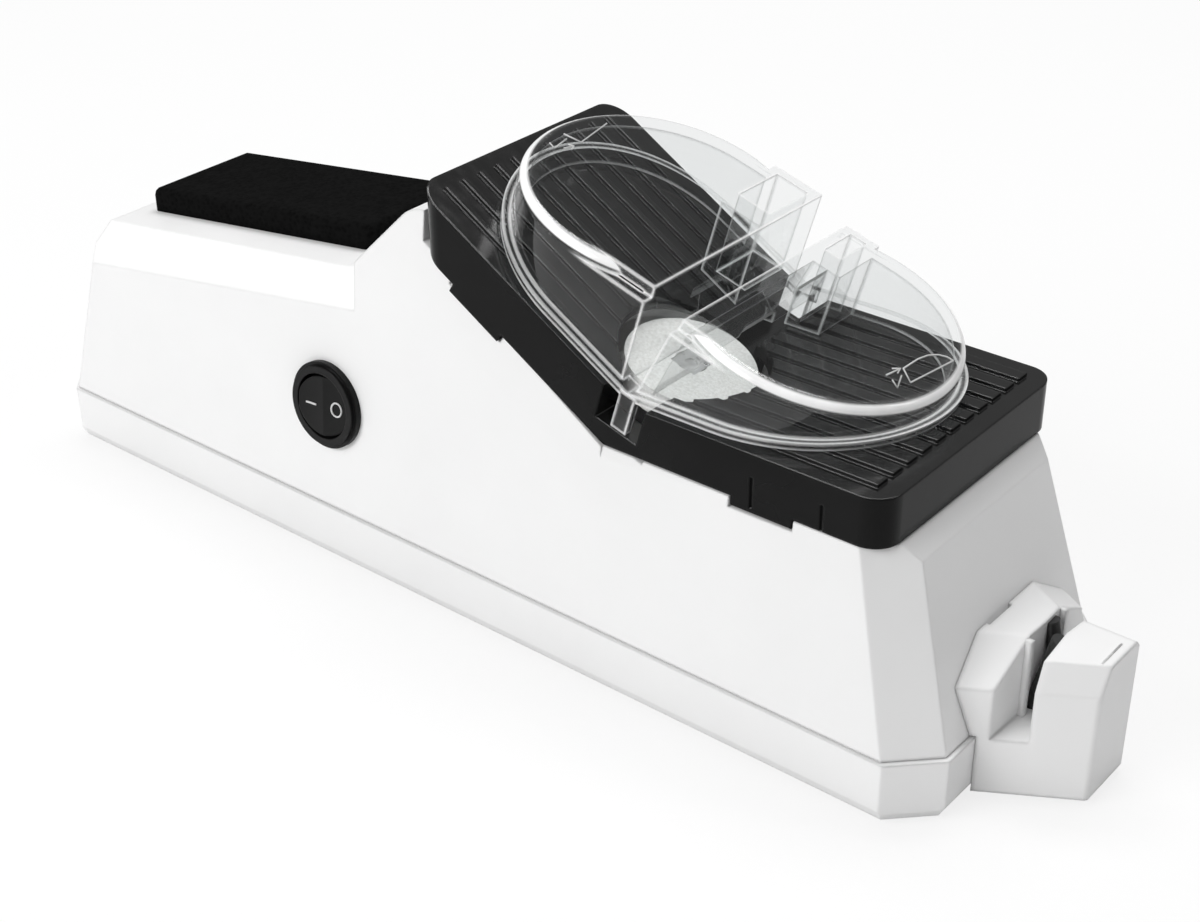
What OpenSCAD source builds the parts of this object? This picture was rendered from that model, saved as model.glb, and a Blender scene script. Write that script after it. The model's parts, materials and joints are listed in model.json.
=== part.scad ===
// Electric knife sharpener: a long wedge body with a hand pad at the rear, a ribbed V-shaped
// work plate under a clear two-dome guard, a flat grinding wheel between the plate's two slopes,
// and a block with a manual V slot on the front end.
// X runs along the body (+X: end with the manual block), -Y is the side with the rocker switch,
// Z is up. The origin is under the middle of the whole length, with the manual block included;
// the rubber feet stand on Z = 0. Inside the modules X = 0 is the middle of the base band.

/* [Body] */
// length of the base band
band_l = 224; // [222:1:226]
// width of the base band
band_w = 66; // [66:1:68]
// height of the base band
band_h = 12.3; // [12:0.1:13]
// wall thickness of the housing and the base tray
wall = 2.5; // [2:0.1:2.8]

/* [Work plate] */
// number of raised ribs across the work plate
rib_count = 11; // [7:2:13]
// height of the ribs
rib_h = 0.6; // [0.4:0.1:0.7]

/* [Guard] */
// half width of the clear domes
dome_r = 26; // [25:0.5:26]
// wall thickness of the clear guard
clear_t = 2; // [1.6:0.1:2.2]

/* [Wheel] */
// radius of the grinding wheel
wheel_r = 12.3; // [11:0.1:12.4]

/* [Rocker switch] */
// tilt of the rocker at rest, with the round mark pressed in
rocker_rest = 9; // [7:1:10]

/* [Hidden] */
$fn = 64;
foot_h = 1; // how far the feet hold the band off the ground
gap = 0.3; // play between parts that lift off or move
block_x1 = 129; // free end of the manual block
middle_x = (block_x1 - band_l / 2) / 2; // middle of the whole length
bevel = 2.3; // height of the bevel round the band's lower edge

// leans of the housing's faces, in degrees, and the points they pass through at the band's top
side_lean = 5.7;
front_lean = 15.9;
rear_lean = 13.8;
corner_lean = 15.4;
side_y = band_w / 2 - 0.6;
front_x = band_l / 2 - 0.9;
rear_x = -band_l / 2 + 0.5;
front_corner = 8; // legs of the two front corner facets
strip_z = 45.7; // lower edge of the narrow facets under the work plate
strip_x = 101.6;
strip_lean = 18;
rear_corner = 3;

// work plate: the front half is level, the rear half climbs towards the hand pad
bend_x = 45;
bend_z = 58.4;
slope = 31;
plate_rear = -2.2;
plate_front = 98.2;
plate_y = 28;
plate_t = 2.2;
plate_corner = 5;
skirt_z = 49;
skirt_bend_x = 40.5;
skirt_t = 2;

// the guard and the wheel stand square to a line tilted between the two slopes
tilt = 16.5;
rear_v = slope - tilt; // slope of each half in the tilted frame
front_v = tilt;
left_top = 22; // height of the left dome
right_top = 19.6;
slot_left = 2.6; // the slot's left side, from the plate's bend
slot_right = 0.2; // the foot of its right side, which leans
slot_lean = 4;
wheel_y = -8.5;
wheel_top = 0.5;
wheel_t = 5;
nut_w = 5.4; // the nut sits in a square pocket of the wheel
opening_r = 14;
trough_w = 9.5;
trough_floor = -6;

// hand pad and its platform
pad_y = 13.7;
pad_rear = -97.2;
pad_front = -29.5;
pad_t = 5.2;
platform_y = 22;
platform_z = 51.8; // at the pad's rear edge
platform_rise = tan(7.86);

switch_x = -27.8;
switch_z = 34.7;
bezel_r = 9;
pivot_r = 0.95; // pins the rocker turns on
rocker_r = 6.3;
rocker_gap = 0.5; // play round the rocker, for its swing
hole_r = 7.6;

block_y0 = 17; // half width of the manual block at the body
block_y1 = 7; // and at its free end
block_top = 28;
block_foot = 0.6; // the block's underside clears the band's bevel
// the block's slot: its two walls at the middle, and how far they part at the sides
gap_x0 = 114.6;
gap_x1 = 118.5;
gap_flare = 0.095;
gap_floor = 12;
rod_r = 1.5;
rod_z = 18.5;
rod_lean = 13;
rod_play = 0.05;
block_screw_y = 4;
block_screw_z = 20;

// motor, on the wheel's axis, in the tilted frame
motor_r = 14;
motor_top = -18;
motor_len = 30;
shaft_r = 1.15;
shaft_play = 0.05;

post_x = 88;
post_y = 21;
post_r = 3.6;
screw_r = 1.4;
foot_x = 98;
foot_y = 14;
cradle_screw_x = [14, 56];
socket_y = 12;
socket_z = 24;
board_z = 10;
board_hole_x = [-75, -45];
board_hole_y = 11;

white = [0.93, 0.93, 0.93];
black = [0.03, 0.03, 0.035];
clear = [0.86, 0.9, 0.92, 0.35];
steel = [0.62, 0.63, 0.65];
far = 160; // larger than any dimension of the object

// ---------- helpers ----------

function platform(x) = platform_z + platform_rise * (x - pad_rear);
function plate_top(x) = bend_z + max(0, bend_x - x) * tan(slope);
function skirt_line(x) = skirt_z + max(0, skirt_bend_x - x) * tan(slope);

// points of an arc, from angle a0 to angle a1
function arc(centre, r, a0, a1, steps) =
    [for (i = [0:steps]) let (a = a0 + (a1 - a0) * i / steps) centre + r * [cos(a), sin(a)]];

// from the base band's own axes to the part's origin
module lifted() {
    translate([-middle_x, 0, foot_h]) children();
}

// frame of the guard and the wheel
module tilted() {
    translate([bend_x, 0, bend_z]) rotate([0, tilt, 0]) children();
}

// profile in X and Z, given a width in Y about the middle
module across(width) {
    rotate([90, 0, 0]) linear_extrude(height = width, center = true) children();
}

// everything on the far side of a plane through p with normal n
module beyond(p, n) {
    translate(p)
        rotate([0, acos(n[2] / norm(n)), atan2(n[1], n[0])])
            translate([-far, -far, 0]) cube([2 * far, 2 * far, far]);
}

module tube(r, z0, z1) {
    translate([0, 0, z0]) cylinder(r = r, h = z1 - z0);
}

module rounded_plan(x0, x1, half_y, r) {
    for (x = [x0 + r, x1 - r], y = [-half_y + r, half_y - r]) translate([x, y]) circle(r);
    translate([x0 + r, -half_y]) square([x1 - x0 - 2 * r, 2 * half_y]);
    translate([x0, -half_y + r]) square([x1 - x0, 2 * half_y - 2 * r]);
}

// ---------- housing ----------

// the housing's leaning faces, moved inwards by w
module outside_faces(w) {
    for (s = [-1, 1]) {
        beyond([0, s * (side_y - w), band_h], [0, s * cos(side_lean), sin(side_lean)]);
        beyond([front_x - w, s * (side_y - front_corner - w * tan(22.5)), band_h],
            [cos(corner_lean), s * cos(corner_lean), sin(corner_lean) * sqrt(2)]);
        beyond([rear_x + w, s * (side_y - rear_corner - w * tan(22.5)), band_h],
            [-cos(rear_lean), s * cos(rear_lean), sin(rear_lean) * sqrt(2)]);
        // shallow facet from the work plate's bend down to the front corner
        beyond([bend_x - 12.2, s * (29.1 - w), 45.3], [0.0153, s * 0.9914, 0.130]);
        // narrow facets under the level part of the skirt
        intersection() {
            beyond([0, s * (29.1 - w), strip_z], [0, s * cos(strip_lean), sin(strip_lean)]);
            translate([skirt_bend_x, -far, 0]) cube(2 * far);
        }
        beyond([strip_x - w, s * (21 - w * tan(22.5)), strip_z],
            [cos(strip_lean), s * cos(strip_lean), sin(strip_lean) * sqrt(2)]);
    }
    beyond([strip_x - w, 0, strip_z], [1, 0, 1]);
    beyond([front_x - w, 0, band_h], [cos(front_lean), 0, sin(front_lean)]);
    beyond([rear_x + w, 0, band_h], [-cos(rear_lean), 0, sin(rear_lean)]);
}

// 45 degree chamfers beside the hand pad, which end where the ramp starts
module pad_chamfers(w) {
    ramp_wall = -20.7;
    intersection() {
        for (s = [-1, 1])
            beyond([pad_rear, s * (platform_y - 0.4 * w), platform_z - w],
                [-platform_rise, s, 1]);
        translate([-far, -far, 0]) cube([far + ramp_wall + w, 2 * far, far]);
    }
}

// side view of the housing: platform, ramp, crest and the ledge the work plate's skirt stands on
module side_view(w) {
    foot = w > 0 ? -1 : band_h;
    ledge = w + gap;
    crest = plate_rear - 1 - w;
    polygon(concat(
        [[-far, foot], [-far, platform(-far) - w]],
        [[-29.1, platform(-29.1) - w]],
        arc([-30.7, 73.06], 12 + w, -76, -44.3, 4),
        arc([-3.5, 73.7], 7 - w, 135.7, acos((crest + 3.5) / (7 - w)), 5),
        [[crest, skirt_line(crest) - ledge]],
        [[skirt_bend_x, skirt_z - ledge], [far, skirt_z - ledge], [far, foot]]));
}

// raised deck inside the work plate's skirt
module deck(w) {
    deck_drop = plate_t + 1.2 + w;
    x0 = plate_rear + skirt_t + 1.2 + w; // leaves room for the rear skirt
    x1 = plate_front - skirt_t - 1 - w;
    across(2 * (plate_y - skirt_t - 0.8 - w))
        polygon([[x0, skirt_line(x0) - 8], [x0, plate_top(x0) - deck_drop],
            [bend_x, bend_z - deck_drop], [x1, bend_z - deck_drop], [x1, skirt_z - 8],
            [skirt_bend_x, skirt_z - 8]]);
}

module housing_solid(w) {
    difference() {
        union() {
            across(2 * far) side_view(w);
            deck(w);
        }
        outside_faces(w);
        pad_chamfers(w);
    }
}

module screw_posts() {
    for (x = [-post_x, post_x], y = [-post_y, post_y])
        translate([x, y, 0]) tube(post_r, wall + 0.1, 60);
}

module upper_housing() {
    color(white) lifted() difference() {
        union() {
            difference() {
                housing_solid(0);
                housing_solid(wall);
            }
            intersection() {
                screw_posts();
                housing_solid(wall / 2);
            }
        }
        for (x = [-post_x, post_x], y = [-post_y, post_y])
            translate([x, y, 0]) cylinder(r = screw_r, h = 20);
        // round hole for the switch
        switch_frame() tube(hole_r, -12, 12);
        // well for the wheel and its chamber, and the cross channel under the plate's trough,
        // wider towards the rear so that the plate lifts straight up
        tilted() {
            translate([0, wheel_y, 0]) tube(opening_r + 1.6, -14, far);
            translate([-trough_w / 2 - 4.2, -far, trough_floor - 2.6])
                cube([trough_w + 6.6, 2 * far, far]);
        }
        // notches for the plate's latch tabs
        for (s = [-1, 1]) {
            translate([68.2 - gap, s > 0 ? 25.9 : -34, 46.8]) cube([12.4 + 2 * gap, 8.1, 8]);
            latch_on_slope(s, gap);
        }
        translate([rear_x - 4, socket_y, socket_z]) rotate([0, 90, 0]) tube(5.6, 0, 14);
        for (y = [-block_screw_y, block_screw_y])
            translate([100, y, block_screw_z]) rotate([0, 90, 0]) tube(screw_r + 0.2, 0, 20);
    }
}

// the band's plan, moved inwards by w
module base_outline(w) {
    hx = band_l / 2 - w;
    hy = band_w / 2 - w;
    cf = front_corner + 0.2 - 0.59 * w; // 0.59 = 2 - sqrt(2), as the corner facets move too
    cr = rear_corner + 0.4 - 0.59 * w;
    polygon([[-hx, -hy + cr], [-hx + cr, -hy], [hx - cf, -hy], [hx, -hy + cf],
        [hx, hy - cf], [hx - cf, hy], [-hx + cr, hy], [-hx, hy - cr]]);
}

// pillars that carry the circuit board
module board_pillars() {
    for (x = board_hole_x, y = [-board_hole_y, board_hole_y]) translate([x, y, 0]) {
        tube(2.6, wall - 0.5, board_z);
        tube(1.4, board_z, board_z + 2.6);
    }
}

module base_tray() {
    color(white) lifted() difference() {
        union() {
            translate([0, 0, bevel]) linear_extrude(band_h - bevel - 0.2) base_outline(0);
            difference() {
                linear_extrude(bevel) base_outline(0);
                for (s = [-1, 1]) {
                    beyond([0, s * (band_w / 2 - bevel / 2), 0], [0, s * 2, -1]);
                    beyond([s * (band_l / 2 - bevel / 2), 0, 0], [s * 2, 0, -1]);
                    beyond([band_l / 2 - bevel / 2, s * (band_w / 2 - front_corner - 0.2), 0],
                        [1.414, s * 1.414, -1]);
                    beyond([-band_l / 2 + bevel / 2, s * (band_w / 2 - rear_corner - 0.4), 0],
                        [-1.414, s * 1.414, -1]);
                }
            }
        }
        difference() {
            translate([0, 0, wall]) linear_extrude(band_h) base_outline(wall + 0.6);
            board_pillars();
        }
        for (x = [-post_x, post_x], y = [-post_y, post_y]) translate([x, y, 0]) {
            tube(screw_r + 0.2, -1, 5);
            tube(3.2, -1, 1.2);
        }
        for (x = [-foot_x, foot_x], y = [-foot_y, foot_y]) translate([x, y, 0]) tube(5.1, -1, 0.8);
        // vents in front of the motor
        for (i = [0:4]) translate([65 + 4 * i, -9, -1]) cube([1.6, 18, 6]);
        for (x = cradle_screw_x) translate([x, wheel_y, 0]) tube(screw_r, 1.2, 5);
    }
}

module rubber_feet() {
    color(black) lifted() for (x = [-foot_x, foot_x], y = [-foot_y, foot_y])
        translate([x, y, 0]) tube(5, -foot_h, 0.8);
}

module base_screws() {
    color(steel) lifted() for (x = [-post_x, post_x], y = [-post_y, post_y]) translate([x, y, 0])
        difference() {
            union() {
                tube(3, -0.2, 1.2);
                tube(screw_r - 0.05, 1.2, 12);
            }
            translate([-2, -0.4, -1]) cube([4, 0.8, 1.4]);
            translate([-0.4, -2, -1]) cube([0.8, 4, 1.4]);
        }
}

module hand_pad() {
    color(black) lifted() across(2 * pad_y)
        polygon([[pad_rear, platform(pad_rear)], [pad_front, platform(pad_front)],
            [pad_front, platform(pad_front) + pad_t], [pad_rear, platform(pad_rear) + pad_t]]);
}

// ---------- rocker switch ----------

// frame on the leaning side face: +Z points out of the face, +X along the body
module switch_frame() {
    translate([switch_x, -side_y + (switch_z - band_h) * tan(side_lean), switch_z])
        rotate([90 - side_lean, 0, 0]) children();
}

module switch_bezel() {
    color(black) lifted() switch_frame() difference() {
        union() {
            tube(bezel_r, 0, 1.2);
            tube(bezel_r - 0.7, 1.2, 2);
            tube(hole_r - 0.1, -13, 0);
        }
        difference() {
            tube(rocker_r + rocker_gap, -8, 4);
            // pivot pins on the ring's inner wall
            for (s = [-1, 1]) rotate([s * 90, 0, 0]) tube(pivot_r, 5, 9);
        }
    }
}

module rocker() {
    dish_r = 30;
    dish_z = 1.6; // lowest point of the two hollows
    color(black) lifted() switch_frame() rotate([0, rocker_rest, 0]) difference() {
        intersection() {
            union() {
                tube(rocker_r, -2, 3.4);
                tube(rocker_r - 0.7, -5.4, -2);
            }
            rotate([90, 0, 0]) cylinder(r = rocker_r, h = 40, center = true);
        }
        // two hollows meeting at the middle give the rocker its shallow saddle
        for (s = [-1, 1]) translate([s * 4.2, 0, dish_r + dish_z]) rotate([90, 0, 0])
            cylinder(r = dish_r, h = 40, center = true);
        rotate([90, 0, 0]) cylinder(r = pivot_r + shaft_play, h = 40, center = true);
    }
}

module switch_contacts() {
    color(steel) lifted() switch_frame() for (x = [-3, 3])
        translate([x - 0.4, -2.4, -21]) difference() {
            cube([0.8, 4.8, 8]);
            translate([-1, 2.4, 2.4]) rotate([0, 90, 0]) cylinder(r = 0.7, h = 4);
        }
}

// ---------- work plate ----------

module plate_solid(w) {
    drop = w > 0 ? plate_t : 0;
    bottom = w > 0 ? 9 : 0;
    intersection() {
        across(2 * far) polygon([
            [plate_rear - 2, plate_top(plate_rear - 2) - drop], [bend_x, bend_z - drop],
            [plate_front + 2, bend_z - drop], [plate_front + 2, skirt_z - bottom],
            [skirt_bend_x, skirt_z - bottom],
            [plate_rear - 2, skirt_line(plate_rear - 2) - bottom]]);
        translate([0, 0, 30]) linear_extrude(70)
            rounded_plan(plate_rear + w, plate_front - w, plate_y - w, plate_corner - w);
    }
}

// latch tab on the rear half, or with some play its notch, which is longer at the uphill end
// so that the tab comes out straight up
module latch_on_slope(s, play) {
    uphill = 5 * play;
    translate([skirt_bend_x, 0, skirt_z]) rotate([0, slope, 0])
        translate([-40.4 - uphill, s > 0 ? plate_y - 1.6 - play : -plate_y + play - 8 + 1.6,
            -1.9 - play])
            cube([13 + uphill + play, 8, 4]);
}

module ribs() {
    pitch = 50 / rib_count;
    for (i = [0:rib_count - 1]) {
        y = (i - (rib_count - 1) / 2) * pitch;
        translate([bend_x + 6, y - pitch * 0.32, bend_z - 1])
            cube([plate_front - bend_x - 10, pitch * 0.64, 1 + rib_h]);
        translate([bend_x, 0, bend_z]) rotate([0, slope, 0])
            translate([-52, y - pitch * 0.14, -1]) cube([45, pitch * 0.28, 1 + rib_h]);
    }
}

module work_plate() {
    trough_wall = 1.5;
    color(black) lifted() difference() {
        union() {
            difference() {
                union() {
                    plate_solid(0);
                    ribs();
                }
                plate_solid(skirt_t);
                tilted() translate([-trough_w / 2, -far, trough_floor])
                    cube([trough_w, 2 * far, far]);
            }
            // floor and sides of the cross trough
            tilted() difference() {
                translate([-trough_w / 2 - trough_wall, -plate_y + 1, trough_floor - trough_wall])
                    cube([trough_w + 2 * trough_wall, 2 * plate_y - 2, 1.2 - trough_floor
                        + trough_wall]);
                translate([-trough_w / 2, -far, trough_floor]) cube([trough_w, 2 * far, far]);
            }
            // latch tabs under the skirt
            for (s = [-1, 1]) {
                translate([68.2, s > 0 ? plate_y - 1.6 : -plate_y, 47.2]) cube([12.4, 1.6, 3]);
                intersection() {
                    latch_on_slope(s, 0);
                    translate([-far, -plate_y, 0]) cube([2 * far, 2 * plate_y, far]);
                }
            }
        }
        tilted() translate([0, wheel_y, 0]) tube(opening_r, trough_floor - 3, far);
        // fine upright grooves on the skirt beside the tabs
        for (x = [72.3, 86.3], s = [-1, 1])
            translate([x - 0.3, s * (plate_y + 0.6) - 1, skirt_z - 1]) cube([0.6, 2, 6]);
    }
}

// ---------- clear guard ----------

// plan of one dome: straight sides ending in a round tip, on the side s of the slot
module dome_plan(s, tip, start, inset) {
    r = dome_r - inset;
    rotate(s > 0 ? 0 : 180) intersection() {
        union() {
            translate([tip - dome_r, 0]) circle(r);
            translate([0, -r]) square([tip - dome_r, 2 * r]);
        }
        translate([start, -far]) square([far, 2 * far]);
    }
}

// dome with its top edge rounded by r, apart from the edge along the slot
module dome(s, tip, start, inset, top, r) {
    reach = tip - dome_r;
    side = dome_r - inset - r;
    linear_extrude(top - r) dome_plan(s, tip, start, inset);
    if (r > 0) {
        linear_extrude(top) dome_plan(s, tip, start, inset + r);
        rotate(s > 0 ? 0 : 180) intersection() {
            translate([0, 0, top - r]) {
                translate([reach, 0, 0]) rotate_extrude() translate([side, 0]) circle(r);
                for (y = [-side, side]) translate([0, y, 0]) rotate([0, 90, 0])
                    cylinder(r = r, h = reach);
            }
            translate([start, -far, 0]) cube([far, 2 * far, far]);
        }
    }
}

// space under the two slopes, raised by off
module under_slopes(off) {
    across(3 * far) polygon([[-60, -30], [-60, 60 * tan(rear_v) + off], [0, off],
        [60, 60 * tan(front_v) + off], [60, -30]]);
}

module left_dome(inset, top, r) {
    dome(-1, 46, slot_left + inset, inset, top, r);
}

// the right dome's slot side leans, so that the slot narrows downwards
module right_dome(inset, top, r) {
    foot = slot_right + inset * 1.05;
    intersection() {
        dome(1, 43, slot_right, inset, top, r);
        across(3 * far) polygon([[foot, 0], [foot + slot_lean, right_top],
            [foot + slot_lean, 30], [60, 30], [60, 0]]);
    }
}

// cut-out at the foot of the right dome's slot side, over the wheel: a step, then a round end
module wheel_notch() {
    translate([-1, 0, 0]) rotate([90, 0, 90]) linear_extrude(4.4)
        polygon(concat([[-10.5, -2], [-10.5, 4.2], [0, 4.2], [0, 7.7]],
            arc([4.4, 0], 8, 74, -10, 10), [[12.2, -2]]));
}

module guard_lip(off, extra) {
    intersection() {
        difference() {
            under_slopes(off + 1.5);
            under_slopes(off);
        }
        translate([0, 0, -5]) linear_extrude(40) difference() {
            union() {
                dome_plan(-1, 46, 0, -extra);
                dome_plan(1, 43, 0, -extra);
            }
            dome_plan(-1, 46, 0, clear_t);
            dome_plan(1, 43, 0, clear_t);
        }
    }
}

module clear_guard() {
    seat = rib_h + gap;
    edge_r = 2.2; // rounding of the domes' top edges
    color(clear) lifted() tilted() difference() {
        union() {
            difference() {
                left_dome(0, left_top, edge_r);
                left_dome(clear_t, left_top - clear_t, 0);
            }
            difference() {
                right_dome(0, right_top, edge_r);
                right_dome(clear_t, right_top - clear_t, 0);
                wheel_notch();
            }
            // pocket at the far end of the slot, and the framed duct facing it
            intersection() {
                translate([-13.7, 10, 0]) cube([11.1, dome_r, left_top]);
                left_dome(0, left_top, 0);
            }
            intersection() {
                translate([4.4, 13.4, 0]) cube([7.4, 12, right_top]);
                right_dome(0, right_top, 0);
            }
            guard_lip(seat, 1.6);
            // feet that stand in the notches of the skirt
            for (s = [-1, 1]) translate([-1.4, s > 0 ? 26.2 : -27.8, trough_floor + gap])
                cube([3.4, 1.6, 8]);
        }
        translate([-11.7, 12, 4.5]) cube([7.1, 12, 30]);
        translate([6.4, 15.4, -1]) cube([3.4, 8.4, 40]);
        intersection() {
            under_slopes(seat);
            translate([-far, -dome_r, -far]) cube([2 * far, 2 * dome_r, 2 * far]);
        }
    }
}

// ---------- wheel and motor ----------

module on_axis() {
    tilted() translate([0, wheel_y, 0]) children();
}

module grinding_wheel() {
    color([0.88, 0.87, 0.84]) lifted() on_axis() difference() {
        tube(wheel_r, wheel_top - wheel_t, wheel_top);
        tube(3, -10, 10);
        translate([-nut_w / 2 - shaft_play, -nut_w / 2 - shaft_play, wheel_top - 1.8])
            cube([nut_w + 2 * shaft_play, nut_w + 2 * shaft_play, 10]);
    }
}

module wheel_hub() {
    color(steel) lifted() on_axis() difference() {
        union() {
            tube(6, -9.6, wheel_top - wheel_t);
            tube(2.95, wheel_top - wheel_t, wheel_top - 1.9);
        }
        tube(shaft_r + shaft_play, -20, 10);
    }
}

module hub_nut() {
    color(steel) lifted() on_axis() difference() {
        translate([-nut_w / 2, -nut_w / 2, wheel_top - 1.8]) cube([nut_w, nut_w, 1.6]);
        tube(shaft_r + shaft_play, -20, 10);
    }
}

module motor_shaft() {
    color(steel) lifted() on_axis() tube(shaft_r, motor_top - motor_len - 1.5, wheel_top - 0.5);
}

module wheel_chamber() {
    r = opening_r + 1.2;
    color(white) lifted() on_axis() difference() {
        tube(r, motor_top + 0.1, -8);
        tube(r - 1.5, motor_top + 2, 0);
        tube(5.3, motor_top - 1, 0);
        for (a = [45:90:315]) rotate(a) translate([8.5, 0, 0]) tube(1, motor_top - 1, 0);
    }
}

module motor_can() {
    boss_r = 5;
    color(steel) lifted() on_axis() difference() {
        union() {
            tube(motor_r, motor_top - motor_len + 2, motor_top);
            tube(boss_r, motor_top, motor_top + 1.8);
        }
        tube(shaft_r + shaft_play, -80, 10);
    }
}

module motor_end_cap() {
    bottom = motor_top - motor_len;
    color(black) lifted() on_axis() difference() {
        union() {
            tube(motor_r - 0.6, bottom, bottom + 2);
            for (y = [-8, 7.2]) translate([-2, y, bottom - 2.4]) cube([4, 0.8, 2.4]);
        }
        tube(shaft_r + shaft_play, -80, 10);
    }
}

module motor_cradle() {
    color(white) lifted() difference() {
        union() {
            translate([17.5, wheel_y - 10, wall]) cube([35, 20, 17]);
            for (x = cradle_screw_x) translate([x, wheel_y, 0]) {
                tube(4.2, wall, wall + 3);
                translate([x < 30 ? 0 : -6, -4.2, wall]) cube([6, 8.4, 3]);
            }
        }
        tilted() translate([0, wheel_y, 0]) tube(motor_r + 0.1, motor_top - motor_len - 4, 0);
        for (x = cradle_screw_x) translate([x, wheel_y, 0]) tube(screw_r + 0.2, 0, 9);
    }
}

module cradle_screws() {
    color(steel) lifted() for (x = cradle_screw_x) translate([x, wheel_y, 0]) {
        tube(screw_r - 0.05, 1.4, wall + 3);
        tube(2.8, wall + 3, wall + 4.4);
    }
}

// ---------- electrics ----------

module circuit_board() {
    color([0.1, 0.32, 0.16]) lifted() difference() {
        translate([board_hole_x[0] - 3, -board_hole_y - 3, board_z])
            cube([board_hole_x[1] - board_hole_x[0] + 6, 2 * board_hole_y + 6, 1.6]);
        for (x = board_hole_x, y = [-board_hole_y, board_hole_y])
            translate([x, y, 0]) tube(1.5, 5, 20);
    }
}

module power_socket() {
    flange_r = 7.5;
    color(black) lifted() translate([rear_x + 1.9, socket_y, socket_z]) rotate([0, 90, 0])
        difference() {
            union() {
                tube(5.5, 0, 13);
                tube(flange_r, 6.6, 8.6);
            }
            difference() {
                tube(3.15, -1, 9.5);
                tube(1, -2, 20);
            }
        }
}

// ---------- manual block ----------

// plan of the slot: its walls part towards both sides
module slot_plan() {
    side = 30;
    polygon([[gap_x0, 0], [gap_x0 - 0.4 * gap_flare * side, -side],
        [gap_x1 + gap_flare * side, -side], [gap_x1, 0], [gap_x1 + gap_flare * side, side],
        [gap_x0 - 0.4 * gap_flare * side, side]]);
}

module block_shape() {
    middle = (gap_x0 + gap_x1) / 2;
    intersection() {
        translate([0, 0, block_foot]) linear_extrude(block_top) polygon([
            [104, -block_y0 - 4.4], [block_x1 - 0.8, -block_y1], [block_x1, -block_y1 + 1],
            [block_x1, block_y1 - 1], [block_x1 - 0.8, block_y1], [104, block_y0 + 4.4]]);
        difference() {
            translate([100, -30, 0]) cube([40, 60, block_top]);
            // left piece: flat top, sides falling away in two steps
            intersection() {
                for (s = [-1, 1]) {
                    beyond([0, s * 7, block_top], [0, s * 0.5, 1]);
                    beyond([0, s * 13, 24.9], [0, s * 1.1, 1]);
                }
                translate([100, -30, 0]) cube([middle - 100, 60, 60]);
            }
            // right piece: a little lower, its top falling towards the sides
            translate([middle, -30, block_top - 0.6]) cube([40, 60, 10]);
            intersection() {
                for (s = [-1, 1]) beyond([block_x1 - 0.8, s * block_y1, 21.5], [0.46, s * 0.77, 1]);
                translate([middle, -30, 0]) cube([40, 60, 60]);
            }
            translate([0, 0, gap_floor]) linear_extrude(30) slot_plan();
        }
    }
}

module rods(r, half) {
    for (s = [-1, 1]) translate([(gap_x0 + gap_x1) / 2, s * 2.2, rod_z])
        rotate([0, -s * rod_lean, 0]) cylinder(r = r, h = 2 * half, center = true);
}

module sharpener_block() {
    color(white) lifted() difference() {
        block_shape();
        // the block fits against the leaning end face and the band
        translate([front_x + 1, -far, -1]) mirror([1, 0, 0]) cube([40, 2 * far, band_h + 1.2]);
        difference() {
            translate([60, -far, -1]) cube([front_x + gap / 2 - 60, 2 * far, 60]);
            beyond([front_x + gap / 2, 0, band_h], [cos(front_lean), 0, sin(front_lean)]);
        }
        // narrow gap between the top and the body
        translate([106, -7, block_top - 1.6]) cube([1.3, 8, 4]);
        rods(rod_r + rod_play, 9.1);
        for (y = [-block_screw_y, block_screw_y])
            translate([100, y, block_screw_z]) rotate([0, 90, 0]) tube(screw_r, 0, 13.6);
    }
}

module sharpening_rods() {
    color(black) lifted() rods(rod_r, 9);
}

module block_screws() {
    color(steel) lifted() for (y = [-block_screw_y, block_screw_y])
        translate([0, y, block_screw_z]) rotate([0, 90, 0]) {
        tube(2.8, 102.2, 103.6);
        tube(screw_r - 0.05, 103.6, 113);
    }
}

upper_housing();
base_tray();
hand_pad();
switch_bezel();
rocker();
switch_contacts();
work_plate();
clear_guard();
grinding_wheel();
wheel_hub();
hub_nut();
motor_shaft();
wheel_chamber();
motor_can();
motor_end_cap();
motor_cradle();
cradle_screws();
circuit_board();
power_socket();
sharpener_block();
sharpening_rods();
block_screws();
base_screws();
rubber_feet();
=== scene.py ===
import bmesh, bpy, json, math
from mathutils import Matrix, Vector


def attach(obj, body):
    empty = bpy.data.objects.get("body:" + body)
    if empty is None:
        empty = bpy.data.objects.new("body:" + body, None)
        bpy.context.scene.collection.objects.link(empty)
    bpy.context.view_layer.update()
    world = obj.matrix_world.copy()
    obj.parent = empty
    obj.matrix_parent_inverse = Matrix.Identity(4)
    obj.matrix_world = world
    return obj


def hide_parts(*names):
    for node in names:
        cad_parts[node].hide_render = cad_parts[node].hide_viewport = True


# Places and sizes of pieces are in mm, on the base band's own axes. Lamps, the camera and the
# depths in materials are in metres.

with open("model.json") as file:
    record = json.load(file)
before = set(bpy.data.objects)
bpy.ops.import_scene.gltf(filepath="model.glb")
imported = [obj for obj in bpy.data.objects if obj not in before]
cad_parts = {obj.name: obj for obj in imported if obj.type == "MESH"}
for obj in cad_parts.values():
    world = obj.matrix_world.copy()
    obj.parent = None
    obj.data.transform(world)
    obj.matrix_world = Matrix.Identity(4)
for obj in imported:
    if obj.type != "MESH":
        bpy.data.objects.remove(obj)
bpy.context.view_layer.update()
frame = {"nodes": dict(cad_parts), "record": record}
nodes = frame["nodes"]
scene = bpy.context.scene
MM = 0.001
SHIFT = Vector((-8.5, 0, 1))  # from the base band's axes to the part's origin

# ---------- sizes shared by several pieces ----------
BEND = (45, 0, 58.4)  # the work plate's bend, where the tilted axes of guard and wheel start
TILT = math.radians(16.5)
tilted = Matrix.Translation(BEND) @ Matrix.Rotation(TILT, 4, "Y")

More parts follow.
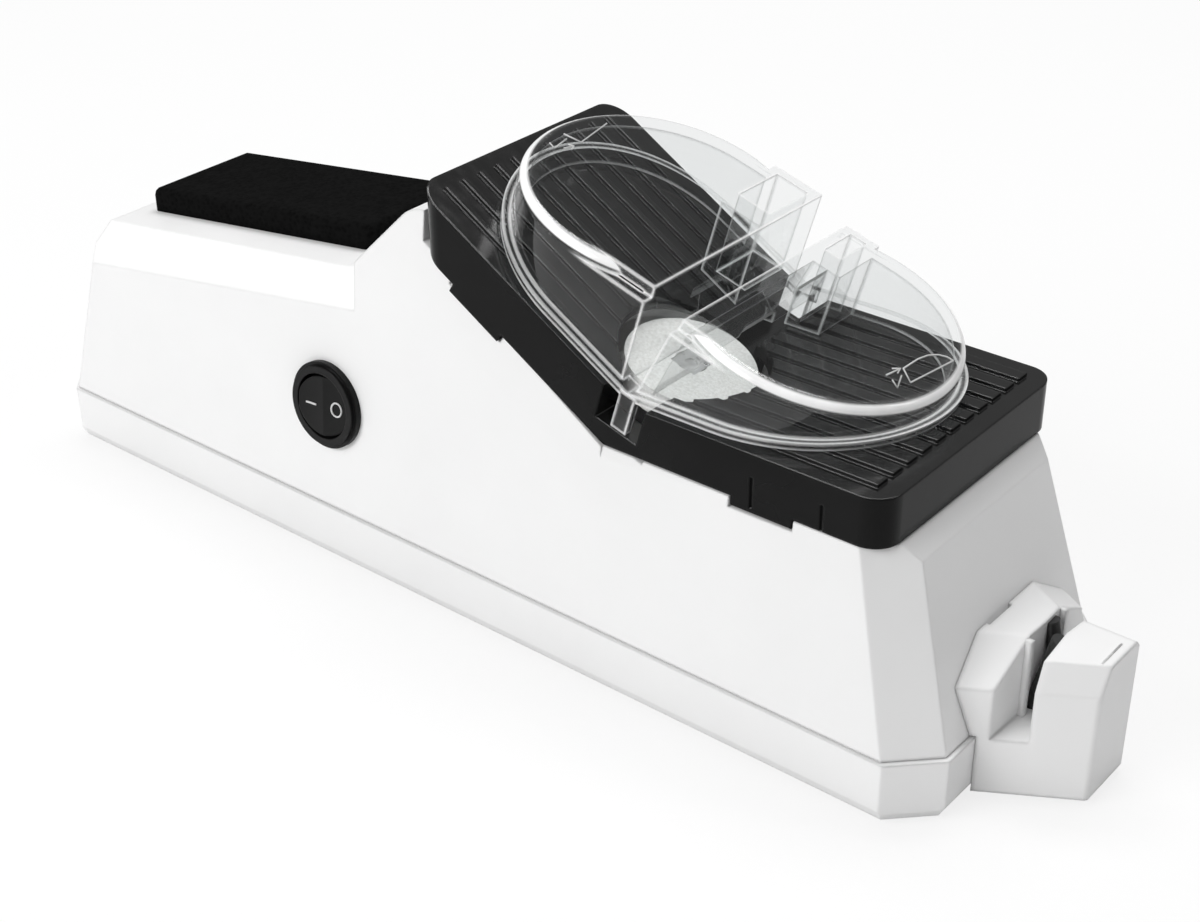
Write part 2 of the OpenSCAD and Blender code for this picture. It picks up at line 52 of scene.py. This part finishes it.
# ---------- camera, as fitted to the photo's straight edges ----------
CAMERA_AT = (0.2240, -0.2601, 0.2247)
LENS, SENSOR = 59.49, 36  # in mm
az, el, roll = map(math.radians, (39.7, 30.6, -0.7))
fwd = Vector((-math.sin(az) * math.cos(el), math.cos(az) * math.cos(el), -math.sin(el)))
right = fwd.cross(Vector((0, 0, 1))).normalized()
up = right.cross(fwd)
cam_x = right * math.cos(roll) + up * math.sin(roll)
cam_y = up * math.cos(roll) - right * math.sin(roll)
cam_data = bpy.data.cameras.new("camera")
cam_data.sensor_width = SENSOR
cam_data.lens = LENS
camera = bpy.data.objects.new("camera", cam_data)
scene.collection.objects.link(camera)
camera.matrix_world = Matrix.Translation(CAMERA_AT) @ Matrix(
    (cam_x, cam_y, -fwd)).transposed().to_4x4()
cam_data.clip_start, cam_data.clip_end = 0.02, 20
scene.camera = camera
scene.view_settings.view_transform = "Standard"

# ---------- materials ----------


class Tree:
    """Short ways to add nodes to a node tree."""

    def __init__(self, tree):
        self.tree = tree

    def add(self, kind, **values):
        node = self.tree.nodes.new(kind)
        for key, value in values.items():
            setattr(node, key, value)
        return node

    def link(self, a, b):
        self.tree.links.new(a, b)

    def maths(self, operation, *values):
        node = self.add("ShaderNodeMath", operation=operation)
        for socket, value in zip(node.inputs, values):
            if isinstance(value, float):
                socket.default_value = value
            else:
                self.link(value, socket)
        return node.outputs[0]

    def mixed(self, fac, first, second):
        node = self.add("ShaderNodeMixShader")
        self.link(fac, node.inputs["Fac"])
        self.link(first.outputs[0], node.inputs[1])
        self.link(second.outputs[0], node.inputs[2])
        return node

    def seen_directly(self):
        """1 where the camera looks at the surface, also through glass."""
        ray = self.add("ShaderNodeLightPath")
        return self.maths("MAXIMUM", ray.outputs["Is Camera Ray"],
                          ray.outputs["Is Transmission Ray"])


class Shader(Tree):
    """A Principled material with helpers for procedural detail, in object coordinates."""

    def __init__(self, name, **sockets):
        self.mat = bpy.data.materials.new(name)
        self.mat.use_nodes = True
        super().__init__(self.mat.node_tree)
        self.bsdf = self.tree.nodes["Principled BSDF"]
        self.out = self.tree.nodes["Material Output"]
        origin = self.add("ShaderNodeTexCoord")
        self.coords, self.facing = origin.outputs["Object"], origin.outputs["Normal"]
        for key, value in sockets.items():
            self.bsdf.inputs[key.replace("_", " ")].default_value = value

    def noise(self, scale, detail=3, stretch=None):
        node = self.add("ShaderNodeTexNoise")
        node.inputs["Scale"].default_value = scale
        node.inputs["Detail"].default_value = detail
        source = self.coords
        if stretch:
            mapping = self.add("ShaderNodeMapping")
            mapping.inputs["Scale"].default_value = stretch
            self.link(source, mapping.inputs["Vector"])
            source = mapping.outputs["Vector"]
        self.link(source, node.inputs["Vector"])
        return node.outputs[0]

    def cells(self, scale):
        node = self.add("ShaderNodeTexVoronoi")
        node.inputs["Scale"].default_value = scale
        self.link(self.coords, node.inputs["Vector"])
        return node.outputs["Distance"]

    def spread(self, value, low, high, start=0.3, end=0.7):
        """Maps a value from start..end to low..high."""
        node = self.add("ShaderNodeMapRange")
        node.inputs["From Min"].default_value = start
        node.inputs["From Max"].default_value = end
        node.inputs["To Min"].default_value = low
        node.inputs["To Max"].default_value = high
        self.link(value, node.inputs["Value"])
        return node.outputs["Result"]

    def tint(self, value, dark, light, start=0.3, end=0.7):
        """Base colour between two tones, by a texture's value."""
        node = self.add("ShaderNodeValToRGB")
        for stop, at, tone in zip(node.color_ramp.elements, (start, end), (dark, light)):
            stop.position = at
            stop.color = (*tone, 1)
        self.link(value, node.inputs["Fac"])
        self.link(node.outputs["Color"], self.bsdf.inputs["Base Color"])

    def roughness(self, value, low, high):
        self.link(self.spread(value, low, high), self.bsdf.inputs["Roughness"])

    def bump(self, value, depth, strength=1.0, under=None):
        node = self.add("ShaderNodeBump")
        node.inputs["Strength"].default_value = strength
        node.inputs["Distance"].default_value = depth
        self.link(value, node.inputs["Height"])
        if under is not None:
            self.link(under, node.inputs["Normal"])
        return node.outputs["Normal"]

    def relief(self, *bump_values):
        """A bump on the Principled shader itself."""
        normal = self.bump(*bump_values)
        self.link(normal, self.bsdf.inputs["Normal"])

    def soft_edges(self, radius):
        node = self.add("ShaderNodeBevel", samples=4)
        node.inputs["Radius"].default_value = radius
        return node.outputs["Normal"]

    def dot(self, a, b):
        node = self.add("ShaderNodeVectorMath", operation="DOT_PRODUCT")
        self.link(a, node.inputs[0])
        if isinstance(b, tuple):
            node.inputs[1].default_value = b
        else:
            self.link(b, node.inputs[1])
        return node.outputs["Value"]


def grey(v):
    return (v, v, v)


def moulded(name, low, high, rough, grain=2600, edge=0.0005, **more):
    """Moulded plastic: faint cloudiness, fine grain, uneven gloss and edges rounded by edge."""
    s = Shader(name, IOR=1.49, **more)
    s.tint(s.noise(30, 4), grey(low), grey(high))
    s.roughness(s.noise(55, 5), *rough)
    s.relief(s.noise(grain, 2), 0.00002, 0.35, s.soft_edges(edge) if edge else None)
    return s.mat


def black_gloss():
    """The work plate: wiped along its length, with painted shade on its upright sides, which
    reflect less than its tops.
    """
    s = Shader("plate gloss", IOR=1.5)
    s.tint(s.noise(40, 3), grey(0.003), grey(0.006))
    s.roughness(s.noise(160, 4, (0.25, 3, 3)), 0.08, 0.2)
    s.relief(s.noise(420, 3, (0.35, 1, 1)), 0.00003, 0.2, s.soft_edges(0.0006))
    # painted shade: reflection set by which way a face points, weaker on upright sides and
    # stronger on tops
    painted_side_shade = s.dot(s.facing, (0, 0, 1))
    s.link(s.spread(painted_side_shade, 0.1, 0.8, 0.1, 0.8), s.bsdf.inputs["Specular IOR Level"])
    return s.mat


def clear_plastic(name, cloud):
    """Polished clear plastic: mirror gloss over a see-through body, with painted highlights on
    its edges and top rim and a painted reflection where the view grazes.
    """
    s = Shader(name, IOR=1.45)
    # the pale tones that the painted highlights and painted reflection below take
    s.tint(s.noise(160, 4), grey(0.82), grey(0.95))
    s.roughness(s.noise(90, 4), 0.05, 0.16)
    s.relief(s.noise(300, 3), 0.00003, 0.3)
    body = s.add("ShaderNodeBsdfTransparent")
    body.inputs["Color"].default_value = (*cloud, 1)
    ripple = s.bump(s.noise(45, 2), 0.0002, 0.25)
    gloss = s.add("ShaderNodeBsdfGlossy")
    gloss.inputs["Color"].default_value = (1, 1, 1, 1)
    gloss.inputs["Roughness"].default_value = 0.03
    s.link(ripple, gloss.inputs["Normal"])
    mirror = s.add("ShaderNodeFresnel")
    mirror.inputs["IOR"].default_value = 1.42
    s.link(ripple, mirror.inputs["Normal"])
    skin = s.mixed(mirror.outputs[0], body, gloss)
    # painted highlight on the edges: where a rounded normal leaves the face's own
    face = s.add("ShaderNodeNewGeometry")
    same = s.dot(s.soft_edges(0.001), face.outputs["True Normal"])
    edge = s.spread(same, 0.0, 0.95, 0.995, 0.95)
    # painted highlight on the domes' rounded-over top edge, where the normal lies between upright
    # and level
    rise = s.dot(s.facing, (math.sin(TILT), 0, math.cos(TILT)))
    painted_rim_highlight = s.maths("MULTIPLY", s.spread(rise, 0.0, 1.0, 0.3, 0.45),
                     s.spread(rise, 1.0, 0.0, 0.86, 0.97))
    # and a painted reflection that pales the faces where the view grazes
    graze = s.add("ShaderNodeLayerWeight")
    graze.inputs["Blend"].default_value = 0.25
    painted_reflection_veil = s.spread(graze.outputs["Facing"], 0.0, 0.55, 0.35, 1.0)
    # pale: the painted highlights and the painted reflection together, mixed in over the glass
    pale = s.maths("MAXIMUM", s.maths("MAXIMUM", edge, painted_rim_highlight), painted_reflection_veil)
    shown = s.mixed(pale, skin, s.bsdf)
    # seen from inside the wall there is neither gloss nor painted highlight
    front = s.mixed(face.outputs["Backfacing"], shown, body)
    # light that falls through throws only a faint shadow
    path = s.add("ShaderNodeLightPath")
    through = s.add("ShaderNodeBsdfTransparent")
    through.inputs["Color"].default_value = (0.93, 0.94, 0.94, 1)
    whole = s.mixed(path.outputs["Is Shadow Ray"], front, through)
    s.link(whole.outputs[0], s.out.inputs["Surface"])
    return s.mat


def foam():
    """Black foam with fine open pores."""
    s = Shader("foam pad", IOR=1.4, Specular_IOR_Level=0.07)
    pores = s.cells(900)
    s.tint(pores, grey(0.001), grey(0.004), 0.05, 0.6)
    s.roughness(s.noise(300, 3), 0.85, 1.0)
    s.relief(s.noise(2500, 2), 0.00005, 0.5, s.bump(pores, 0.00012, 0.5))
    return s.mat


def grit():
    s = Shader("wheel grit", IOR=1.5)
    s.tint(s.noise(1800, 4), (0.72, 0.71, 0.69), (0.86, 0.855, 0.84), 0.35, 0.65)
    s.roughness(s.noise(900, 3), 0.75, 0.95)
    s.relief(s.cells(2200), 0.0001, 0.6)
    return s.mat


def plated(name, value):
    """Steel with fine upright drawing marks."""
    s = Shader(name, Metallic=1.0)
    drawn = (1, 1, 0.05)
    s.tint(s.noise(60, 3), grey(value * 0.9), grey(value))
    s.roughness(s.noise(500, 4, drawn), 0.25, 0.42)
    s.relief(s.noise(1500, 3, drawn), 0.00002, 0.4)
    return s.mat


def printed(name, value):
    s = Shader(name, IOR=1.45)
    s.tint(s.noise(700, 3), grey(value * 0.9), grey(value))
    s.roughness(s.noise(300, 3), 0.45, 0.6)
    s.relief(s.noise(3000, 2), 0.00001, 0.4)
    return s.mat


def board_lacquer():
    s = Shader("board lacquer", IOR=1.5)
    s.tint(s.noise(250, 4), (0.04, 0.16, 0.07), (0.07, 0.24, 0.11))
    s.roughness(s.noise(90, 3), 0.25, 0.4)
    s.relief(s.noise(900, 3), 0.00003, 0.4)
    return s.mat


finishes = {
    "housing_white": moulded("housing white", 0.80, 0.83, (0.34, 0.46), edge=0.0008),
    "block_white": moulded("block white", 0.80, 0.83, (0.32, 0.42), edge=0.0012),
    "pad_foam": foam(),
    "switch_black": moulded("switch black", 0.003, 0.006, (0.3, 0.42), edge=0.0004,
                            Specular_IOR_Level=0.18),
    "plate_black": black_gloss(),
    "guard_clear": clear_plastic("guard clear", (0.96, 0.965, 0.965)),
    "wheel_grit": grit(),
    "metal": plated("plated steel", 0.62),
    "inner_white": moulded("inner white", 0.72, 0.76, (0.45, 0.6), edge=0),
    "motor_steel": plated("motor steel", 0.6),
    "inner_black": moulded("inner black", 0.012, 0.02, (0.4, 0.55), edge=0.0003),
    "board_green": board_lacquer(),
    "rod_black": moulded("rod ceramic", 0.012, 0.022, (0.3, 0.5), grain=5000, edge=0),
    "feet_rubber": moulded("rubber", 0.014, 0.022, (0.7, 0.85), edge=0.0003),
}
for part in frame["record"]["subparts"]:
    obj = nodes[part["node"]]
    obj.data.materials.clear()
    obj.data.materials.append(finishes[part["material_slot"]])
mark_white = printed("mark white", 0.7)
mark_pale = printed("mark pale", 0.62)

# ---------- mesh helpers ----------


def place(points, at=None):
    """Points in mm, on the band's axes or on those of at, as metres in the part's frame."""
    return [(SHIFT + ((at @ Vector(p)) if at else Vector(p))) * MM for p in points]


def solid(name, verts, faces, mat, body, at=None):
    """A smooth-shaded piece that moves with one body."""
    mesh = bpy.data.meshes.new(name)
    mesh.from_pydata(place(verts, at), [], faces)
    mesh.validate()
    obj = bpy.data.objects.new(name, mesh)
    scene.collection.objects.link(obj)
    mesh.materials.append(mat)
    for poly in mesh.polygons:
        poly.use_smooth = True
    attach(obj, body)
    return obj


def sweep(name, path, radius, mat, body, at=None, closed=False, sides=8):
    """A round bead along a path of points."""
    n = len(path)
    path = [Vector(p) for p in path]
    verts, faces = [], []
    normal = None
    for i, p in enumerate(path):
        ahead = path[(i + 1) % n] if closed or i < n - 1 else path[i]
        behind = path[i - 1] if closed or i else path[i]
        along = (ahead - behind).normalized()
        if normal is None:
            normal = along.orthogonal().normalized()
        normal = (normal - along * normal.dot(along)).normalized()
        side = along.cross(normal)
        for k in range(sides):
            a = 2 * math.pi * k / sides
            verts.append(p + (normal * math.cos(a) + side * math.sin(a)) * radius)
    for i in range(n if closed else n - 1):
        j = (i + 1) % n
        for k in range(sides):
            m = (k + 1) % sides
            faces.append((i * sides + k, i * sides + m, j * sides + m, j * sides + k))
    if not closed:
        faces.append(tuple(range(sides))[::-1])
        faces.append(tuple((n - 1) * sides + k for k in range(sides)))
    return solid(name, verts, faces, mat, body, at)


def convex(name, points):
    """The convex body round some points."""
    mesh = bpy.data.meshes.new(name)
    bm = bmesh.new()
    for p in place(points):
        bm.verts.new(p)
    bmesh.ops.convex_hull(bm, input=bm.verts)
    bmesh.ops.dissolve_limit(bm, angle_limit=0.01, verts=bm.verts, edges=bm.edges)
    bm.to_mesh(mesh)
    bm.free()
    obj = bpy.data.objects.new(name, mesh)
    scene.collection.objects.link(obj)
    return obj


def box_points(x0, x1, y0, y1, z0, z1):
    return [(x, y, z) for x in (x0, x1) for y in (y0, y1) for z in (z0, z1)]


def cut(base, points):
    """Takes the convex body round some points out of a mesh."""
    tool = convex("cutter", points)
    mod = base.modifiers.new("cut", "BOOLEAN")
    mod.operation = "DIFFERENCE"
    mod.solver = "EXACT"
    mod.object = tool
    bpy.context.view_layer.update()
    base.data = bpy.data.meshes.new_from_object(
        base.evaluated_get(bpy.context.evaluated_depsgraph_get()))
    base.modifiers.clear()
    bpy.data.objects.remove(tool)


# ---------- manual block: its two horns, rounded all round ----------
BLOCK_FOOT = 0.6
BLOCK_END = 129
BLOCK_PLAN = [(106.8, 19.75), (128.6, 6.77), (BLOCK_END, 6.2)]  # one half, from the body outwards
INNER_TOP, OUTER_TOP = 28, 27.4  # the horn beside the body, and the free one
SLOT_X = (114.6, 118.5)  # the slot's walls at the middle
SLOT_PART = (-0.038, 0.095)  # how far each wall moves outwards per mm from the middle
SLOT_MIDDLE, SLOT_FLOOR = 116.5, 12
SIDE_POINT, SIDE_OUT = (104, 21.4), (0.511, 0.859)  # a point of the slanted side, and its normal
INNER_SHOULDER, INNER_SLOPE = 22.2, 0.667  # height at the slanted side, and rise per mm from it
OUTER_SHOULDER, OUTER_SLOPE = 22.4, 2.2
FAR_START, FAR_SLOPE = 5.2, 1.2  # where the free horn's far side starts to fall, and how steeply
BAND_FACE, BAND_TOP = 112.1, 12.45  # the tray's band, with some play
END_FACE = ((111.33, 12), (104.5, 36))  # x and z of the housing's leaning end face
HOLDER_X, HOLDER_Y, HOLDER_TOP = (114.2, 115.5), (5.4, 6.6), 27.6
GAP = (105, 107.5, -6.6, 1, 26.2, 30)  # x, y and z of a narrow gap beside the body
BEHIND, BEYOND, CLEAR = 100, 140, 30  # x, x and y that lie outside the block
UNDER, OVER = -5, 60  # z outside the block
BLOCK_ROUND = 0.7


def above(x0, x1, side, height):
    """Everything over a sloping face, on one side of the middle."""
    plan = [(x, side * y) for x in (x0, x1) for y in (0, CLEAR)]
    return [(x, y, height(x, abs(y))) for x, y in plan] + [(x, y, OVER) for x, y in plan]


def inside_by(x, y):
    """Distance from the block's slanted side in plan."""
    return SIDE_OUT[1] * (SIDE_POINT[1] - y) - SIDE_OUT[0] * (x - SIDE_POINT[0])


def block_cuts():
    """The bodies that are cut from the block, each as points of its hull."""
    yield box_points(BEHIND, BAND_FACE, -CLEAR, CLEAR, UNDER, BAND_TOP)
    yield [(x, y, z) for y in (-CLEAR, CLEAR) for edge_x, z in END_FACE for x in (BEHIND, edge_x)]
    slot = [(x + part * y, y) for x, part in zip(SLOT_X, SLOT_PART) for y in (0, CLEAR)]
    for side in (-1, 1):
        yield [(x, side * y, z) for x, y in slot for z in (SLOT_FLOOR, OVER)]
        yield above(BEHIND, SLOT_MIDDLE, side,
                    lambda x, y: INNER_SHOULDER + INNER_SLOPE * inside_by(x, y))
    # the free horn: a short steep facet on the near side, a broad one on the far side
    yield above(SLOT_MIDDLE, BEYOND, -1,
                lambda x, y: OUTER_SHOULDER + OUTER_SLOPE * inside_by(x, y))
    yield above(SLOT_MIDDLE, BEYOND, 1, lambda x, y: OUTER_TOP - FAR_SLOPE * (y - FAR_START))
    yield box_points(SLOT_MIDDLE, BEYOND, -CLEAR, CLEAR, OUTER_TOP, OVER)
    yield box_points(*GAP)


def manual_block():
    base = convex("manual_block", [(x, side * y, z) for x, y in BLOCK_PLAN for side in (-1, 1)
                                   for z in (BLOCK_FOOT, INNER_TOP)])
    for points in block_cuts():
        cut(base, points)
    flat = bmesh.new()
    flat.from_mesh(base.data)
    bmesh.ops.remove_doubles(flat, verts=flat.verts, dist=0.02 * MM)
    bmesh.ops.dissolve_limit(flat, angle_limit=0.03, verts=flat.verts, edges=flat.edges)
    flat.to_mesh(base.data)
    flat.free()
    base.data.materials.clear()
    base.data.materials.append(finishes["block_white"])
    soft = base.modifiers.new("round", "BEVEL")
    soft.width = BLOCK_ROUND * MM
    soft.segments = 3
    soft.limit_method = "ANGLE"
    soft.angle_limit = math.radians(25)
    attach(base, "housing")
    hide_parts("sharpener_block")


def block_trim():
    """Holder strips beside the rods, and a fine raised line on the free horn."""
    for name, side in (("near", -1), ("far", 1)):
        sides = [side * y for y in HOLDER_Y]
        strip = convex(f"rod_holder_{name}",
                       box_points(*HOLDER_X, *sides, SLOT_FLOOR - 0.2, HOLDER_TOP))
        strip.data.materials.append(finishes["block_white"])
        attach(strip, "housing")
    line_x = BLOCK_END - 1.8
    sweep("block_line", [(line_x, -4.2, OUTER_TOP), (line_x, 2.8, OUTER_TOP)], 0.22,
          finishes["block_white"], "housing", sides=10)


manual_block()
block_trim()

# ---------- hand pad: soft foam with rounded edges ----------
PAD_X = (-97.2, -29.5)
PAD_Y = 13.7
PAD_T = 5.2
PAD_MIDDLE = (PAD_X[0] + PAD_X[1]) / 2
PAD_HALF = (PAD_X[1] - PAD_X[0]) / 2
PAD_EDGE = 1.0  # how far in from its sides the pad's top starts to fall
REAR_CORNER, FRONT_CORNER = 1.2, 2.6  # radii of the plan's corners
PAD_NET = (60, 28)  # cells along and across
PLATFORM_REAR, PLATFORM_RISE = 51.8, math.radians(7.86)  # height at the pad's rear, and slope


def platform(x):
    return PLATFORM_REAR + math.tan(PLATFORM_RISE) * (x - PAD_X[0])


def round_corner(x, y):
    """Draws a point near a corner of the pad's plan inwards, on to the corner's arc."""
    way = 1 if x > PAD_MIDDLE else -1
    r = FRONT_CORNER if way > 0 else REAR_CORNER
    centre_x = PAD_MIDDLE + way * (PAD_HALF - r)
    a = (x - centre_x) * way
    b = abs(y) - (PAD_Y - r)
    if a <= 0 or b <= 0:
        return x, y
    shrink = max(a, b) / math.hypot(a, b)
    return centre_x + a * shrink * way, math.copysign(PAD_Y - r + b * shrink, y)


def fall(inwards):
    """How far the pad's top is below its middle, at a distance in from one side."""
    t = 1 - min(1, inwards / PAD_EDGE)
    return 0.8 * PAD_EDGE * (1 - math.sqrt(1 - t * t))


def pad_layer(height, top):
    """A net of points over the pad's plan; top says whether it falls towards the sides."""
    nx, ny = PAD_NET
    points = []
    for i in range(nx + 1):
        for j in range(ny + 1):
            u, v = i / nx * 2 - 1, j / ny * 2 - 1
            drop = fall((1 - abs(u)) * PAD_HALF) + fall((1 - abs(v)) * PAD_Y) if top else 0
            x, y = round_corner(PAD_MIDDLE + u * PAD_HALF, v * PAD_Y)
            points.append((x, y, platform(x) + height - drop))
    return points


def foam_pad():
    nx, ny = PAD_NET
    row = ny + 1
    verts = pad_layer(PAD_T, True)
    low = len(verts)
    verts += pad_layer(0.02, False)
    faces = []
    for i in range(nx):
        for j in range(ny):
            a = i * row + j
            faces.append((a, a + row, a + row + 1, a + 1))
            faces.append((low + a, low + a + 1, low + a + row + 1, low + a + row))
    rim = [(i, 0) for i in range(nx)] + [(nx, j) for j in range(ny)]
    rim += [(i, ny) for i in range(nx, 0, -1)] + [(0, j) for j in range(ny, 0, -1)]
    ring = [i * row + j for i, j in rim]
    for a, b in zip(ring, ring[1:] + ring[:1]):
        faces.append((a, low + a, low + b, b))
    pad = solid("foam_pad", verts, faces, finishes["pad_foam"], "housing")
    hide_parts("hand_pad")


foam_pad()

# ---------- guard: engraved marks near the domes' tips ----------
LEFT_TOP, RIGHT_TOP = 22, 19.6  # heights of the two domes, on the tilted axes
MARK_R, MARK_LIFT = 0.15, 0.02
MARKS = {
    "left": (LEFT_TOP, {
        "blade": [(-42.4, -2.0), (-38.8, -1.2), (-40.4, 8.0)],
        "bracket": [(-41.8, -6.6), (-40.2, -7.1), (-41.0, -2.8)],
        "shaft": [(-39.2, -5.6), (-38.7, -3.4)],
        "head": [(-38.2, -4.6), (-38.7, -3.4), (-39.6, -3.9)]}),
    "right": (RIGHT_TOP, {
        "blade": [(35.0, -1.5), (37.9, -3.6), (39.2, 8.2), (37.9, 8.1), (36.6, 7.2), (35.6, 5.4),
                  (35.1, 3.0), (35.0, -1.5)],
        "bracket": [(35.9, -3.4), (37.3, -6.8), (35.6, -5.8)],
        "shaft": [(34.2, -5.6), (34.7, -1.9)],
        "head": [(33.8, -3.2), (34.7, -1.9), (35.1, -3.4)]}),
}


def knife_marks():
    """On each dome a generic blade outline, a bracket and a small arrow."""
    for where, (top, strokes) in MARKS.items():
        for part, points in strokes.items():
            sweep(f"mark_{where}_{part}", [(x, y, top + MARK_LIFT) for x, y in points], MARK_R,
                  mark_pale, "top", tilted, sides=6)


knife_marks()

# ---------- rocker: a printed line and circle ----------
SWITCH_X, SWITCH_Z = -27.8, 34.7
SIDE_LEAN = math.radians(5.7)
SIDE_Y, SIDE_FOOT = -32.4, 12.3  # a point of the leaning side face
ROCKER_REST = math.radians(9)
DISH_R, DISH_Z, DISH_X = 30, 1.6, 4.2  # the rocker's two hollows
LINE_X, LINE_Y, LINE_STEP, LINE_STEPS = -4.3, -0.1, 0.25, 10
RING_X, RING_RX, RING_RY = 3.1, 1.2, 1.45
switch_at = (Matrix.Translation(
    (SWITCH_X, SIDE_Y + (SWITCH_Z - SIDE_FOOT) * math.tan(SIDE_LEAN), SWITCH_Z))
    @ Matrix.Rotation(math.radians(90) - SIDE_LEAN, 4, "X")
    @ Matrix.Rotation(ROCKER_REST, 4, "Y"))


def on_rocker(points):
    """Points in plan, laid on the rocker's hollow face."""
    return [(x, y, DISH_Z + DISH_R - math.sqrt(DISH_R ** 2 - (abs(x) - DISH_X) ** 2))
            for x, y in points]


def rocker_marks():
    line = [(LINE_X + LINE_STEP * i, LINE_Y) for i in range(LINE_STEPS + 1)]
    angles = [math.radians(a) for a in range(0, 360, 10)]
    ring = [(RING_X + RING_RX * math.cos(a), RING_RY * math.sin(a)) for a in angles]
    sweep("rocker_line", on_rocker(line), 0.22, mark_white, "rocker", switch_at)
    sweep("rocker_circle", on_rocker(ring), 0.2, mark_white, "rocker", switch_at,
          closed=True)


rocker_marks()

# ---------- floor and light ----------
LAMPS = [  # name, size, place, point it looks at, power
    ("key", (0.8, 0.6), (-0.35, -1.05, 0.75), (0, 0, 0.04), 9.8),
    ("top", (0.9, 0.35), (-0.15, 0.3, 1.1), (0, 0, 0.03), 8),
    ("strip", (0.9, 0.05), (-0.12, -0.95, 0.85), (0.04, 0, 0.06), 1.6),
    ("edge", (0.12, 0.5), (0.75, 0.45, 0.75), (0.03, 0, 0.06), 1.0),
]
FILL, WHITE = 0.25, 1.0  # strengths of the world's light, and of the white that the camera sees
WHITENED = 0.8  # how much of the floor's own look is lifted to white for the camera
FLOOR_HALF = 4


def lamp(name, size, at, look, power):
    data = bpy.data.lights.new(name, "AREA")
    data.shape = "RECTANGLE"
    data.size, data.size_y = size
    data.energy = power
    obj = bpy.data.objects.new(name, data)
    scene.collection.objects.link(obj)
    obj.location = at
    obj.rotation_mode = "QUATERNION"
    obj.rotation_quaternion = (Vector(look) - Vector(at)).to_track_quat("-Z", "Y")


def studio():
    """White where the camera sees it, and a soft fill for everything else."""
    world = bpy.data.worlds.new("studio")
    scene.world = world
    world.use_nodes = True
    t = Tree(world.node_tree)
    fill = t.tree.nodes["Background"]
    shown = t.add("ShaderNodeBackground")
    for node, strength in ((fill, FILL), (shown, WHITE)):
        node.inputs["Color"].default_value = (1, 1, 1, 1)
        node.inputs["Strength"].default_value = strength
    both = t.mixed(t.seen_directly(), fill, shown)
    t.link(both.outputs[0], t.tree.nodes["World Output"].inputs["Surface"])


def paper_floor(half):
    """Pale paper that keeps the object's shadow, lifted towards white for the camera."""
    mesh = bpy.data.meshes.new("floor")
    corners = [(-half, -half, 0), (half, -half, 0), (half, half, 0), (-half, half, 0)]
    mesh.from_pydata(corners, [], [(0, 1, 2, 3)])
    floor = bpy.data.objects.new("floor", mesh)
    scene.collection.objects.link(floor)
    paper = Shader("paper floor", IOR=1.3)
    paper.tint(paper.noise(6, 3), grey(0.83), grey(0.85))
    paper.roughness(paper.noise(40, 3), 0.85, 0.95)
    paper.relief(paper.noise(500, 3), 0.00005, 0.3)
    glow = paper.add("ShaderNodeEmission")
    glow.inputs["Color"].default_value = (1, 1, 1, 1)
    glow.inputs["Strength"].default_value = WHITE
    part_white = paper.maths("MULTIPLY", paper.seen_directly(), WHITENED)
    surface = paper.mixed(part_white, paper.bsdf, glow)
    paper.link(surface.outputs[0], paper.out.inputs["Surface"])
    mesh.materials.append(paper.mat)


for values in LAMPS:
    lamp(*values)
studio()
paper_floor(FLOOR_HALF)

bpy.context.view_layer.update()
